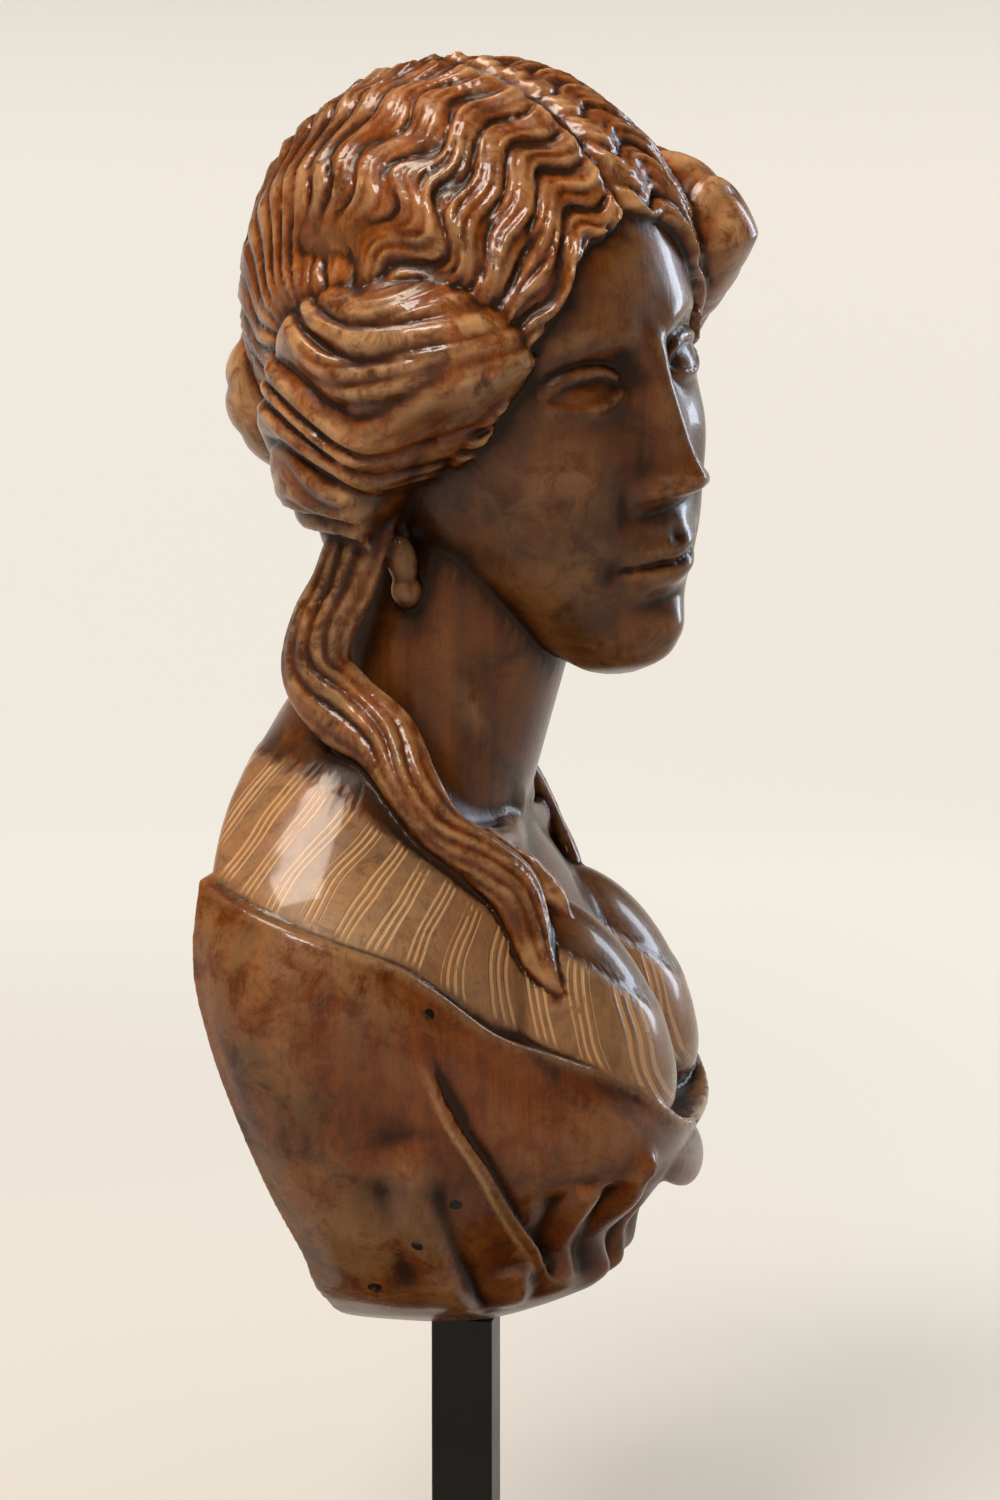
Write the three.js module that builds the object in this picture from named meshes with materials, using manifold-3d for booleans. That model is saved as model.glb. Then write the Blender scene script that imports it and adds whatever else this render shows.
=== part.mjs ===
// Ship figurehead: a carved wooden bust of a woman on a black square post with a flat foot.
// Millimetres, +Z up. The chest faces -Y, the figure's right side is -X.
// Working directions: f forward (-Y), r to the figure's right (-X), h height above the bust's underside.
import * as THREE from "three";
import { mergeVertices } from "three/addons/utils/BufferGeometryUtils.js";
import Module from "manifold-3d";

const wasm = await Module();
wasm.setup();

// Stand
const FOOT_SIDE = 260;
const FOOT_THICKNESS = 12;
const FOOT_CORNER = 6;
const POST_SIDE = 25;
const POST_CORNER = 1.5;
const POST_EXPOSED = 150;
const SEAT_GAP = 0.3;
const BUST_BASE = FOOT_THICKNESS + POST_EXPOSED + 2 * SEAT_GAP;

// Trunk: flat back, line of the widest point, front and half width at each height
const TRUNK = [
  { h: 0, back: -24, side: -8, front: 8, half: 16 },
  { h: 8, back: -40, side: -13, front: 30, half: 46 },
  { h: 20, back: -43, side: -18, front: 50, half: 74 },
  { h: 45, back: -47, side: -27, front: 60, half: 100 },
  { h: 70, back: -56, side: -34, front: 66, half: 117 },
  { h: 100, back: -66.5, side: -40, front: 68, half: 130 },
  { h: 130, back: -76, side: -44, front: 64, half: 138 },
  { h: 160, back: -83, side: -45, front: 54, half: 136 },
  { h: 185, back: -84, side: -43, front: 40, half: 122 },
  { h: 205, back: -86, side: -40, front: 26, half: 98 },
  { h: 225, back: -83, side: -34, front: 14, half: 78 },
  { h: 245, back: -77, side: -28, front: 6, half: 58 },
  { h: 262, back: -66, side: -22, front: 0, half: 42 },
];
// Front of the mantle at the same heights; its back and sides are the trunk's, thicker by the cloth
const MANTLE_FRONT = [8, 30, 52, 64, 84, 94, 82, 57, 43, 28, 16, 8, 2];
const CLOTH = 4;
// How far the round of the trunk would reach behind its flat back, and where that fades out
const BACK_CUT = 35;
const BACK_CUT_TOP = { low: 195, high: 245 };
const BREAST = { f: 40, r: 44, h: 108, depth: 50, half: 48, low: 42, high: 74 };

// Head: place of its centre (eye level, half depth), turn to the figure's right and lean of the crown
const HEAD = { f: 10, r: 2, h: 384, turn: 34, lean: 14 };
// Head sections: half width, forehead-to-chin front, back of the skull
const SKULL = [
  { z: -122, half: 12, front: 52, back: -36 },
  { z: -118, half: 22, front: 62, back: -18 },
  { z: -109, half: 34, front: 70, back: 0 },
  { z: -95, half: 45, front: 73, back: 20 },
  { z: -80, half: 53, front: 77, back: 40 },
  { z: -54, half: 62, front: 81, back: 66 },
  { z: -30, half: 70, front: 84, back: 80 },
  { z: 0, half: 75, front: 85, back: 90 },
  { z: 18, half: 77, front: 89, back: 93 },
  { z: 50, half: 78, front: 86, back: 94 },
  { z: 85, half: 68, front: 68, back: 82 },
  { z: 110, half: 44, front: 42, back: 54 },
  { z: 125, half: 10, front: 6, back: 14 },
];
const JAW = { rise: 26, chin: 42, low: 122, high: 60 };
const NOSE = { top: 6, tip: -42, base: -55, reach: 22, half: 15 };
const CAP = { y: -4, z: 32, half: 86, depth: 97, tall: 94, parting: 4 };
const ROLL = { x: 76, y: 14, z: 5, half: 31, depth: 60, tall: 54, farRise: 28, slant: 0.22 };
const CHIGNON = { y: -79, z: 0, half: 62, depth: 36, tall: 43 };

const radians = THREE.MathUtils.degToRad;

// Point of the object from forward, right and height.
function place(f, r, h) {
  return new THREE.Vector3(-r, -f, BUST_BASE + h);
}

// Head frame: x to the figure's right, y along the gaze, z up, leaned and turned.
const headMatrix = new THREE.Matrix4()
  .makeTranslation(place(HEAD.f, HEAD.r, HEAD.h))
  .multiply(new THREE.Matrix4().makeRotationZ(-radians(HEAD.turn)))
  .multiply(new THREE.Matrix4().makeRotationY(-radians(HEAD.lean)))
  .multiply(new THREE.Matrix4().makeScale(-1, -1, 1));

function headPoint(x, y, z) {
  return new THREE.Vector3(x, y, z).applyMatrix4(headMatrix);
}

// Geometry with shared vertices only, so that its surface is closed.
function welded(geometry) {
  const bare = geometry.clone();
  bare.deleteAttribute("normal");
  bare.deleteAttribute("uv");
  return mergeVertices(bare, 1e-5);
}

function solidOf(geometry) {
  const merged = welded(geometry);
  const triVerts = new Uint32Array(merged.index.array);
  const vertProperties = new Float32Array(merged.attributes.position.array);
  return new wasm.Manifold(new wasm.Mesh({ numProp: 3, vertProperties, triVerts }));
}

function geometryOf(solid) {
  const mesh = solid.getMesh();
  const geometry = new THREE.BufferGeometry();
  geometry.setAttribute("position", new THREE.BufferAttribute(mesh.vertProperties, 3));
  geometry.setIndex(new THREE.BufferAttribute(mesh.triVerts, 1));
  return geometry;
}

// Smooth value of one named size over a list of stations.
function follow(stations, along, size) {
  const times = stations.map((station) => station[along]);
  const values = stations.map((station) => station[size]);
  const curve = new THREE.CubicInterpolant(times, values, 1);
  return (at) => curve.evaluate(THREE.MathUtils.clamp(at, times[0], times.at(-1)))[0];
}

// Moves every vertex of a geometry to a new place, keeping its faces.
function reshape(source, move) {
  const geometry = welded(source);
  const position = geometry.attributes.position;
  const point = new THREE.Vector3();
  for (let i = 0; i < position.count; i += 1) {
    point.fromBufferAttribute(position, i);
    const moved = move(point);
    position.setXYZ(i, moved.x, moved.y, moved.z);
  }
  return geometry;
}

function bump(value, centre, spread) {
  return Math.exp(-(((value - centre) / spread) ** 2));
}

function sizesOf(stations, along, names) {
  return Object.fromEntries(names.map((name) => [name, follow(stations, along, name)]));
}

const trunkSizes = sizesOf(TRUNK, "h", ["back", "side", "front", "half"]);
const TRUNK_NARROWING = 1.15;

// Half width of the trunk at a place given by forward and height.
function trunkReach(f, h) {
  const side = trunkSizes.side(h);
  const forward = f > side;
  const depth = forward ? trunkSizes.front(h) - side : side - trunkSizes.back(h);
  const cosine = Math.min(1, Math.abs(f - side) / depth);
  return trunkSizes.half(h) * Math.sqrt(1 - cosine ** 2) ** (forward ? TRUNK_NARROWING : 1);
}

// Point on the trunk's surface, or `lift` above it, on the figure's right (side 1) or left (-1).
function onTrunk(f, h, side, lift = 0) {
  return place(f, side * (trunkReach(f, h) + lift), h);
}

// Lofts a unit cylinder through trunk sections; the front half narrows towards the breastbone.
function trunkSolid(stations, narrowing) {
  const sizes = sizesOf(stations, "h", ["back", "side", "front", "half"]);
  const height = stations.at(-1).h;
  const unit = new THREE.CylinderGeometry(1, 1, 1, 36, 18);
  const body = reshape(unit, (p) => {
    const h = (p.y + 0.5) * height;
    const reach = Math.hypot(p.x, p.z);
    const cosine = reach > 0 ? p.z / reach : 1;
    const sine = reach > 0 ? p.x / reach : 0;
    const side = sizes.side(h);
    const cut = BACK_CUT * (1 - THREE.MathUtils.smoothstep(h, BACK_CUT_TOP.low, BACK_CUT_TOP.high));
    const depth = cosine > 0 ? sizes.front(h) - side : side - sizes.back(h) + cut;
    const wide = Math.sign(sine) * Math.abs(sine) ** (cosine > 0 ? narrowing(h) : 1);
    const f = Math.max(side + reach * cosine * depth, sizes.back(h));
    return place(f, -reach * wide * sizes.half(h), h);
  });
  return solidOf(body);
}

// Breast: an ellipsoid drawn out upwards, where it runs into the chest.
function breastSolid(side) {
  const { f, r, h, depth, half, low, high } = BREAST;
  const unit = new THREE.SphereGeometry(1, 20, 12);
  const ball = reshape(unit, (p) => {
    const rise = Math.max(0, p.y);
    return place(f - 9 * rise + p.z * depth, side * r - p.x * half, h + p.y * (rise > 0 ? high : low));
  });
  return solidOf(ball);
}

// Ellipsoid in the head's directions, with an optional relief along its surface.
function headMound(x, y, z, half, depth, tall, columns, rows, relief = () => 0, slant = 0) {
  const unit = new THREE.SphereGeometry(1, columns, rows);
  const ball = reshape(unit, (p) => {
    const lift = 1 + relief(p) / depth;
    const along = y + p.z * depth * lift + p.y * tall * slant;
    return headPoint(x - p.x * half * lift, along, z + p.y * tall * lift);
  });
  return solidOf(ball);
}

// Tapered bar along a curve: a unit cylinder swept through points, flat against `outward`.
function sweptBar(points, halfWidth, halfThickness, outward, columns = 10, rows = 18) {
  const curve = new THREE.CatmullRomCurve3(points);
  const unit = new THREE.CylinderGeometry(1, 1, 1, columns, rows);
  const across = new THREE.Vector3();
  const bar = reshape(unit, (p) => {
    const t = p.y + 0.5;
    const at = curve.getPoint(t);
    const along = curve.getTangent(t);
    const out = outward(at).projectOnPlane(along).normalize();
    across.crossVectors(along, out);
    const made = at.clone();
    made.addScaledVector(across, p.x * halfWidth(t));
    made.addScaledVector(out, p.z * halfThickness(t));
    return made;
  });
  return solidOf(bar);
}

function faceRelief(x, z) {
  const side = Math.abs(x);
  let lift = 0;
  const down = THREE.MathUtils.clamp((NOSE.top - z) / (NOSE.top - NOSE.tip), 0, 1);
  const under = THREE.MathUtils.smoothstep(z, NOSE.base, NOSE.base + 10);
  const noseHalf = 6 + (NOSE.half - 6) * down;
  lift += NOSE.reach * down * under * bump(side, 0, noseHalf * 0.75);
  lift -= 6 * bump(side, 30, 15) * bump(z, 2, 11);
  lift += 5 * bump(side, 31, 10) * bump(z, -1, 7);
  lift += 2.5 * bump(side, 30, 20) * bump(z, 18, 7);
  lift += 3 * bump(side, 44, 16) * bump(z, -32, 16);
  lift += 5 * bump(side, 0, 16) * bump(z, -70, 6);
  lift += 5 * bump(side, 0, 14) * bump(z, -83, 5);
  lift += 4 * bump(side, 0, 16) * bump(z, -106, 9);
  return lift;
}

// Head and face lofted from the skull's sections, with more columns on the face than behind.
function headSolid() {
  const sizes = sizesOf(SKULL, "z", ["half", "front", "back"]);
  const low = SKULL[0].z;
  const span = SKULL.at(-1).z - low;
  const unit = new THREE.CylinderGeometry(1, 1, 1, 38, 28);
  const block = reshape(unit, (p) => {
    const z = low + (p.y + 0.5) * span;
    const reach = Math.hypot(p.x, p.z);
    const even = Math.atan2(p.x, p.z);
    const turned = even - 0.45 * Math.sin(even);
    const x = -reach * Math.sin(turned) * sizes.half(z);
    const forward = Math.cos(turned);
    const depth = forward > 0 ? sizes.front(z) : sizes.back(z);
    const onFace = reach * THREE.MathUtils.smoothstep(forward, 0.2, 0.6);
    const y = reach * forward * depth;
    const behind = THREE.MathUtils.clamp((JAW.chin - y) / JAW.chin, 0, 1.3);
    const rise = JAW.rise * behind * THREE.MathUtils.smoothstep(-z, JAW.high, JAW.low);
    return headPoint(x, y + onFace * faceRelief(x, z), z + rise);
  });
  return solidOf(block);
}

// Waves of the combed hair, falling from the parting.
function hairRelief(p) {
  const away = Math.abs(p.x);
  const fan = Math.atan2(p.z, p.y);
  const front = THREE.MathUtils.smoothstep(p.z, -0.55, 0.1);
  const waves = 2.4 * Math.sin(fan * 14 + Math.sin(away * 9) * 1.2) * front;
  return waves * THREE.MathUtils.smoothstep(away, 0.02, 0.2) - CAP.parting * bump(away, 0, 0.06) * front;
}

// Opening of the hair over the face: a pointed arch, cut through the cap along the gaze.
function faceWindow() {
  const arch = new THREE.Shape();
  arch.moveTo(-70, -140);
  arch.bezierCurveTo(-80, -60, -72, 40, 0, 66);
  arch.bezierCurveTo(72, 40, 80, -60, 70, -140);
  arch.closePath();
  const prism = new THREE.ExtrudeGeometry(arch, { depth: 140, bevelEnabled: false, curveSegments: 16 });
  return solidOf(reshape(prism, (p) => headPoint(-p.x, p.z, p.y)));
}

// Everything of the hair that is dressed on the head.
function hairSolids() {
  const cap = headMound(0, CAP.y, CAP.z, CAP.half, CAP.depth, CAP.tall, 32, 20, hairRelief);
  const made = [cap.subtract(faceWindow())];
  const scallops = (p) => 3 * Math.sin(p.y * 9 + p.z * 1.5) * THREE.MathUtils.smoothstep(-p.z, -0.8, 0.6);
  for (const side of [1, -1]) {
    const rise = side > 0 ? 0 : ROLL.farRise;
    made.push(
      headMound(
        side * ROLL.x,
        ROLL.y,
        ROLL.z + rise,
        ROLL.half,
        ROLL.depth,
        ROLL.tall,
        18,
        13,
        scallops,
        side > 0 ? ROLL.slant : 0,
      ),
    );
    made.push(headMound(side * 63, -2, -64, 8, 8, 12, 8, 6));
  }
  made.push(headMound(0, CHIGNON.y, CHIGNON.z, CHIGNON.half, CHIGNON.depth, CHIGNON.tall, 22, 14));
  made.push(headMound(0, -52, -52, 50, 30, 42, 16, 10));
  return made;
}

// Loose locks over the shoulders; the lock on the figure's right is the longer one.
function lockSolids() {
  const outward = (at) => new THREE.Vector3(at.x, at.y - 30, 30);
  const right = [
    place(-38, 58, 325),
    place(-45, 57, 298),
    place(-53, 56, 276),
    place(-47, 58, 255),
    place(-28, 60, 240),
    onTrunk(-6, 218, 1, 2),
    onTrunk(12, 196, 1, 2),
    place(29, 66, 177),
    place(38, 74, 159),
    place(50, 84, 140),
  ];
  const left = [
    place(-38, -52, 325),
    place(-42, -56, 290),
    place(-34, -60, 258),
    place(-14, -62, 234),
    onTrunk(8, 210, -1, 2),
    onTrunk(24, 190, -1, 2),
    onTrunk(36, 174, -1, 2),
  ];
  const width = (t) => 3 + 13 * Math.sin(Math.PI * (0.12 + 0.8 * t) ** 0.8);
  const thickness = (t) => 2 + 8 * Math.sin(Math.PI * (0.12 + 0.8 * t) ** 0.8);
  return [right, left].map((path) => sweptBar(path, width, thickness, outward, 8, 20));
}

// Mantle: the trunk thicker by the cloth, kept below an edge that runs from the shoulder blade
// down to the breast, with folds fanning from the waist.
function mantleSolids() {
  const stations = TRUNK.map((station, i) => ({
    h: station.h,
    back: station.back - CLOTH * Math.min(1, station.h / 30),
    side: station.side,
    front: MANTLE_FRONT[i],
    half: station.half + CLOTH * Math.min(1, station.h / 30),
  }));
  const cloth = trunkSolid(stations, (h) => 0.68 + 0.47 * THREE.MathUtils.smoothstep(h, 78, 140));
  const edge = new THREE.Shape();
  edge.moveTo(-140, -20);
  edge.lineTo(-140, 212);
  edge.bezierCurveTo(-70, 200, 0, 163, 32, 130);
  edge.bezierCurveTo(60, 110, 90, 88, 130, 70);
  edge.lineTo(130, -20);
  edge.closePath();
  const prism = new THREE.ExtrudeGeometry(edge, { depth: 400, bevelEnabled: false, curveSegments: 10 });
  const below = reshape(prism, (p) => place(p.x, p.z - 200, p.y));
  const made = [cloth.intersect(solidOf(below))];
  const outward = (at) => new THREE.Vector3(at.x, at.y - 40, 0);
  for (const side of [1, -1]) {
    const folds = [
      [onTrunk(2, 118, side, 3), onTrunk(10, 90, side, 5), onTrunk(20, 60, side, 6), onTrunk(30, 36, side, 2)],
      [onTrunk(-12, 92, side), onTrunk(-10, 66, side, 3), onTrunk(-6, 46, side, 3), onTrunk(2, 28, side, -2)],
      [place(74, side * 60, 76), place(66, side * 50, 58), place(56, side * 40, 40), place(48, side * 34, 24)],
    ];
    for (const path of folds) {
      made.push(
        sweptBar(path, (t) => 8 + 6 * t, (t) => 3 + 7 * Math.sin(Math.PI * (0.1 + 0.8 * t)), outward, 8, 8),
      );
    }
  }
  made.push(
    sweptBar(
      [place(82, 40, 76), place(89, 12, 68), place(89, -16, 66), place(80, -44, 76)],
      () => 9,
      (t) => 3 + 3 * Math.sin(Math.PI * t),
      outward,
      10,
      10,
    ),
  );
  return made;
}

// Neck from the shoulders into the head, leaning forward as it rises.
function neckSolid() {
  const unit = new THREE.CylinderGeometry(1, 1, 1, 28, 8);
  const neck = reshape(unit, (p) => {
    const h = 185 + (p.y + 0.5) * 185;
    const flare = THREE.MathUtils.smoothstep(250 - h, 0, 65);
    const centre = -32 + 0.28 * (Math.min(h, 335) - 190);
    const depth = p.z > 0 ? 51 : 51 + 10 * flare;
    return place(centre + p.z * depth, p.x * -(50 + 22 * flare), h);
  });
  return solidOf(neck);
}

function bustSolid() {
  const pieces = [trunkSolid(TRUNK, () => TRUNK_NARROWING), neckSolid(), headSolid()];
  pieces.push(breastSolid(1), breastSolid(-1));
  pieces.push(...mantleSolids(), ...hairSolids(), ...lockSolids());
  const joined = pieces.reduce((sum, piece) => sum.add(piece));
  const under = new THREE.BoxGeometry(600, 600, 100).translate(0, 0, BUST_BASE - 50);
  return joined.subtract(solidOf(under));
}

// Square bar or plate with rounded upright edges.
function squareBlock(side, corner, low, high) {
  const half = side / 2;
  const outline = new THREE.Shape();
  outline.moveTo(-half + corner, -half);
  outline.lineTo(half - corner, -half);
  outline.absarc(half - corner, -half + corner, corner, -Math.PI / 2, 0);
  outline.lineTo(half, half - corner);
  outline.absarc(half - corner, half - corner, corner, 0, Math.PI / 2);
  outline.lineTo(-half + corner, half);
  outline.absarc(-half + corner, half - corner, corner, Math.PI / 2, Math.PI);
  outline.lineTo(-half, -half + corner);
  outline.absarc(-half + corner, -half + corner, corner, Math.PI, 1.5 * Math.PI);
  const block = new THREE.ExtrudeGeometry(outline, { depth: high - low, bevelEnabled: false, curveSegments: 4 });
  return block.translate(0, 0, low);
}

function piece(name, geometry, colour, roughness, metalness) {
  const material = new THREE.MeshStandardMaterial({ color: colour, roughness, metalness });
  const mesh = new THREE.Mesh(geometry, material);
  mesh.name = name;
  return mesh;
}

const postLow = FOOT_THICKNESS + SEAT_GAP;
const object = new THREE.Group();
object.add(piece("bust", geometryOf(bustSolid()), 0x8a5230, 0.35, 0));
object.add(piece("post", squareBlock(POST_SIDE, POST_CORNER, postLow, postLow + POST_EXPOSED), 0x101010, 0.4, 0));
object.add(piece("foot", squareBlock(FOOT_SIDE, FOOT_CORNER, 0, FOOT_THICKNESS), 0x101010, 0.4, 0));

export default object;
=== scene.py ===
import math

import bpy
import numpy as np
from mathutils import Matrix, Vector, kdtree


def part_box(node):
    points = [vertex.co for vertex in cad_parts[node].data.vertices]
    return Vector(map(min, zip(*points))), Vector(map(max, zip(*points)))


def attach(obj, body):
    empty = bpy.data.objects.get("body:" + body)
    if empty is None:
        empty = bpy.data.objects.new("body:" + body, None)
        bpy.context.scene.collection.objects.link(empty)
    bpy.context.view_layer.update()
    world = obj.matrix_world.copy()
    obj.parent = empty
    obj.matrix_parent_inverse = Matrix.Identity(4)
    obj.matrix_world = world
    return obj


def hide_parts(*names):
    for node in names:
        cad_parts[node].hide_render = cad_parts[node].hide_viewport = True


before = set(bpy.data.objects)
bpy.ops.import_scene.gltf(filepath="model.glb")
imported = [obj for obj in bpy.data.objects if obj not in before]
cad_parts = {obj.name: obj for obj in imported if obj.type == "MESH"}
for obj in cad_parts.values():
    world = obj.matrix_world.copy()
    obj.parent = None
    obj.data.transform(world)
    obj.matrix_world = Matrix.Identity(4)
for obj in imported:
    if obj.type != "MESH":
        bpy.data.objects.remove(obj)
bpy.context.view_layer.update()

# All the carving is worked out in millimetres: f forward (-Y), r to the figure's right (-X),
# h above the bust's underside. The head has its own x (to its right), y (gaze) and z (up).
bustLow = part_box("bust")[0]
baseHeight = bustLow.z * 1000

bust = {
    "voxel": 1.2,  # finest detail kept, mm
    "bodyVoxel": 2.4,
    "triangles": 194000,
    "headTurn": 34,  # degrees to the figure's right
    "headLean": 14,
    "headPlace": (10, 2, 384),
    "cloth": 4.0,  # thickness of the mantle, mm
    "chemise": 1.1,
    "backCut": 35,
    "strandsPerRadian": 18.5,  # ridges of the combed hair, counted round the ear
    "strandDepth": 3.1,
    "rollStrands": 7.5,
    "rollDepth": 6.0,
}


def place(f, r, h):
    f, r, h = np.broadcast_arrays(np.asarray(f, float), np.asarray(r, float), np.asarray(h, float))
    return np.stack([-r, -f, baseHeight + h], -1)


def turnMatrix(axis, degrees):
    a = math.radians(degrees)
    c, s = math.cos(a), math.sin(a)
    if axis == "z":
        return np.array([[c, -s, 0], [s, c, 0], [0, 0, 1]])
    return np.array([[c, 0, s], [0, 1, 0], [-s, 0, c]])


headTurn = turnMatrix("z", -bust["headTurn"]) @ turnMatrix("y", -bust["headLean"])
headTurn = headTurn @ np.diag([-1.0, -1.0, 1.0])
headCentre = place(*bust["headPlace"])


def headPoint(x, y, z):
    x, y, z = np.broadcast_arrays(x, y, z)
    return np.stack([x, y, z], -1) @ headTurn.T + headCentre


def smoothStep(value, low, high):
    t = np.clip((value - low) / (high - low), 0, 1)
    return t * t * (3 - 2 * t)


def bell(value, centre, spread):
    return np.exp(-(((value - centre) / spread) ** 2))


# Smooth curve through stations, clamped at its ends.
def follow(xs, ys, at):
    xs, ys = np.asarray(xs, float), np.asarray(ys, float)
    slope = np.gradient(ys, xs)
    at = np.clip(at, xs[0], xs[-1])
    i = np.clip(np.searchsorted(xs, at, side="right") - 1, 0, len(xs) - 2)
    width = xs[i + 1] - xs[i]
    t = (at - xs[i]) / width
    a = (1 + 2 * t) * (1 - t) ** 2 * ys[i] + t * (1 - t) ** 2 * width * slope[i]
    return a + t * t * (3 - 2 * t) * ys[i + 1] + t * t * (t - 1) * width * slope[i + 1]


# Closed surface from rings of points, with a fan at each end.
def ringSurface(rings):
    rows, columns = rings.shape[:2]
    points = np.concatenate([rings.reshape(-1, 3), rings[0].mean(0)[None], rings[-1].mean(0)[None]])
    here = np.arange(rows * columns).reshape(rows, columns)
    right = np.roll(here, -1, 1)
    a, b, c, d = here[:-1], right[:-1], right[1:], here[1:]
    walls = np.concatenate([np.stack([a, b, c], -1).reshape(-1, 3), np.stack([a, c, d], -1).reshape(-1, 3)])
    low, high = rows * columns, rows * columns + 1
    first = np.stack([right[0], here[0], np.full(columns, low)], -1)
    last = np.stack([here[-1], right[-1], np.full(columns, high)], -1)
    triangles = np.concatenate([walls, first, last])
    p = points[triangles]
    volume = np.einsum("ij,ij->i", p[:, 0], np.cross(p[:, 1], p[:, 2])).sum()
    return points, triangles if volume > 0 else triangles[:, ::-1]


def gridOf(columns, rows):
    return np.meshgrid(np.arange(columns) / columns * 2 * np.pi, np.linspace(0, 1, rows))


def joined(forms):
    points, triangles, count = [], [], 0
    for p, t in forms:
        points.append(p)
        triangles.append(t + count)
        count += len(p)
    return np.concatenate(points), np.concatenate(triangles)


def meshOf(name, points, triangles):
    mesh = bpy.data.meshes.new(name)
    mesh.vertices.add(len(points))
    mesh.vertices.foreach_set("co", points.astype(np.float32).ravel())
    mesh.loops.add(len(triangles) * 3)
    mesh.loops.foreach_set("vertex_index", triangles.astype(np.int32).ravel())
    mesh.polygons.add(len(triangles))
    mesh.polygons.foreach_set("loop_start", np.arange(0, len(triangles) * 3, 3, dtype=np.int32))
    mesh.update(calc_edges=True)
    mesh.validate()
    return mesh


def arraysOf(mesh):
    points = np.zeros(len(mesh.vertices) * 3, np.float32)
    mesh.vertices.foreach_get("co", points)
    mesh.calc_loop_triangles()
    triangles = np.zeros(len(mesh.loop_triangles) * 3, np.int32)
    mesh.loop_triangles.foreach_get("vertices", triangles)
    return points.reshape(-1, 3).astype(float), triangles.reshape(-1, 3)


# One skin round overlapping forms: voxels, then light smoothing, then fewer triangles.
def fused(forms, voxel, smoothing, factor=0.5, target=None):
    points, triangles = joined(forms)
    work = bpy.data.objects.new("work", meshOf("work", points, triangles))
    bpy.context.scene.collection.objects.link(work)
    remesh = work.modifiers.new("skin", "REMESH")
    remesh.mode = "VOXEL"
    remesh.voxel_size = voxel
    smooth = work.modifiers.new("smooth", "SMOOTH")
    smooth.factor = factor
    smooth.iterations = smoothing
    made = arraysOf(work.evaluated_get(bpy.context.evaluated_depsgraph_get()).to_mesh())
    if target and len(made[1]) > target:
        thin = work.modifiers.new("thin", "DECIMATE")
        thin.ratio = target / len(made[1])
        made = arraysOf(work.evaluated_get(bpy.context.evaluated_depsgraph_get()).to_mesh())
    bpy.data.objects.remove(work)
    return made


# Trunk: reach back, to the side line, forward and sideways at each height h
trunk = {
    "h": [0, 8, 20, 45, 70, 100, 130, 160, 185, 205, 225, 245, 262],
    "back": [-24, -40, -43, -47, -56, -66.5, -76, -83, -84, -86, -83, -77, -66],
    "side": [-8, -13, -18, -27, -34, -40, -44, -45, -43, -40, -34, -28, -22],
    "front": [8, 30, 50, 60, 66, 68, 64, 54, 40, 26, 14, 6, 0],
    "half": [16, 46, 74, 100, 117, 130, 138, 136, 122, 98, 78, 58, 42],
    "mantleFront": [8, 30, 52, 64, 84, 94, 82, 57, 43, 28, 16, 8, 2],
    "narrowing": 1.15,
}
# Lower and upper edges of the pleated chemise on either side: height at each forward place
mantleEdge = (
    [-105, -96, -80, -60, -27, -4, 8, 27, 49, 69, 82, 92, 100],
    [203, 198, 189, 182, 170, 160, 151, 135, 124, 113, 103, 88, 74],
)
chemiseEdge = (
    [-100, -75, -54, -41, -22, -6, 10, 17, 40, 63, 80, 95],
    [236, 235, 230, 225, 212, 201, 189, 183, 168, 154, 140, 126],
)


def trunkRing(angle, h, front, narrowing, grow=0.0):
    back = follow(trunk["h"], trunk["back"], h) - grow
    side = follow(trunk["h"], trunk["side"], h)
    ahead = follow(trunk["h"], front, h) + grow
    half = follow(trunk["h"], trunk["half"], h) + grow
    cut = bust["backCut"] * (1 - smoothStep(h, 195, 245))
    c, s = np.cos(angle), np.sin(angle)
    f = side + np.where(c > 0, c * (ahead - side), c * (side - back + cut))
    r = np.sign(s) * np.abs(s) ** np.where(c > 0, narrowing, 1) * half
    return np.maximum(f, back), r


def trunkForm():
    angle, v = gridOf(220, 200)
    h = v * trunk["h"][-1]
    f, r = trunkRing(angle, h, trunk["front"], trunk["narrowing"])
    return ringSurface(place(f, r, h))


def breastForm(side):
    angle, v = gridOf(120, 80)
    tilt = (v - 0.5) * math.pi * 0.998
    px, py, pz = np.cos(tilt) * np.sin(angle), np.sin(tilt), np.cos(tilt) * np.cos(angle)
    rise = np.maximum(0, py)
    return ringSurface(
        place(40 - 9 * rise + pz * 50, side * 44 + px * 48, 108 + py * np.where(py > 0, 74, 42))
    )


def outOfTrunk(path):
    return path - np.array([0, 30, 0]) - path * np.array([0, 0, 1.0]) + np.array([0, 0, 12.0])


def outOfNeck(path):
    return path - place(-20, 0, 0) * [1, 1, 0] - path * [0, 0, 1]


# Smooth path through points, with the directions across it and out of the body.
def pathThrough(points, rows, outward):
    points = np.asarray(points, float)
    steps = np.r_[0, np.cumsum(np.linalg.norm(np.diff(points, axis=0), axis=1))]
    steps /= steps[-1]
    t = np.linspace(0, 1, rows)
    path = np.stack([follow(steps, points[:, i], t) for i in range(3)], -1)
    along = np.gradient(path, axis=0)
    along /= np.linalg.norm(along, axis=1)[:, None]
    out = outward(path)
    out = out - (out * along).sum(1)[:, None] * along
    out /= np.linalg.norm(out, axis=1)[:, None]
    return steps, t, path, np.cross(along, out), out


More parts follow.
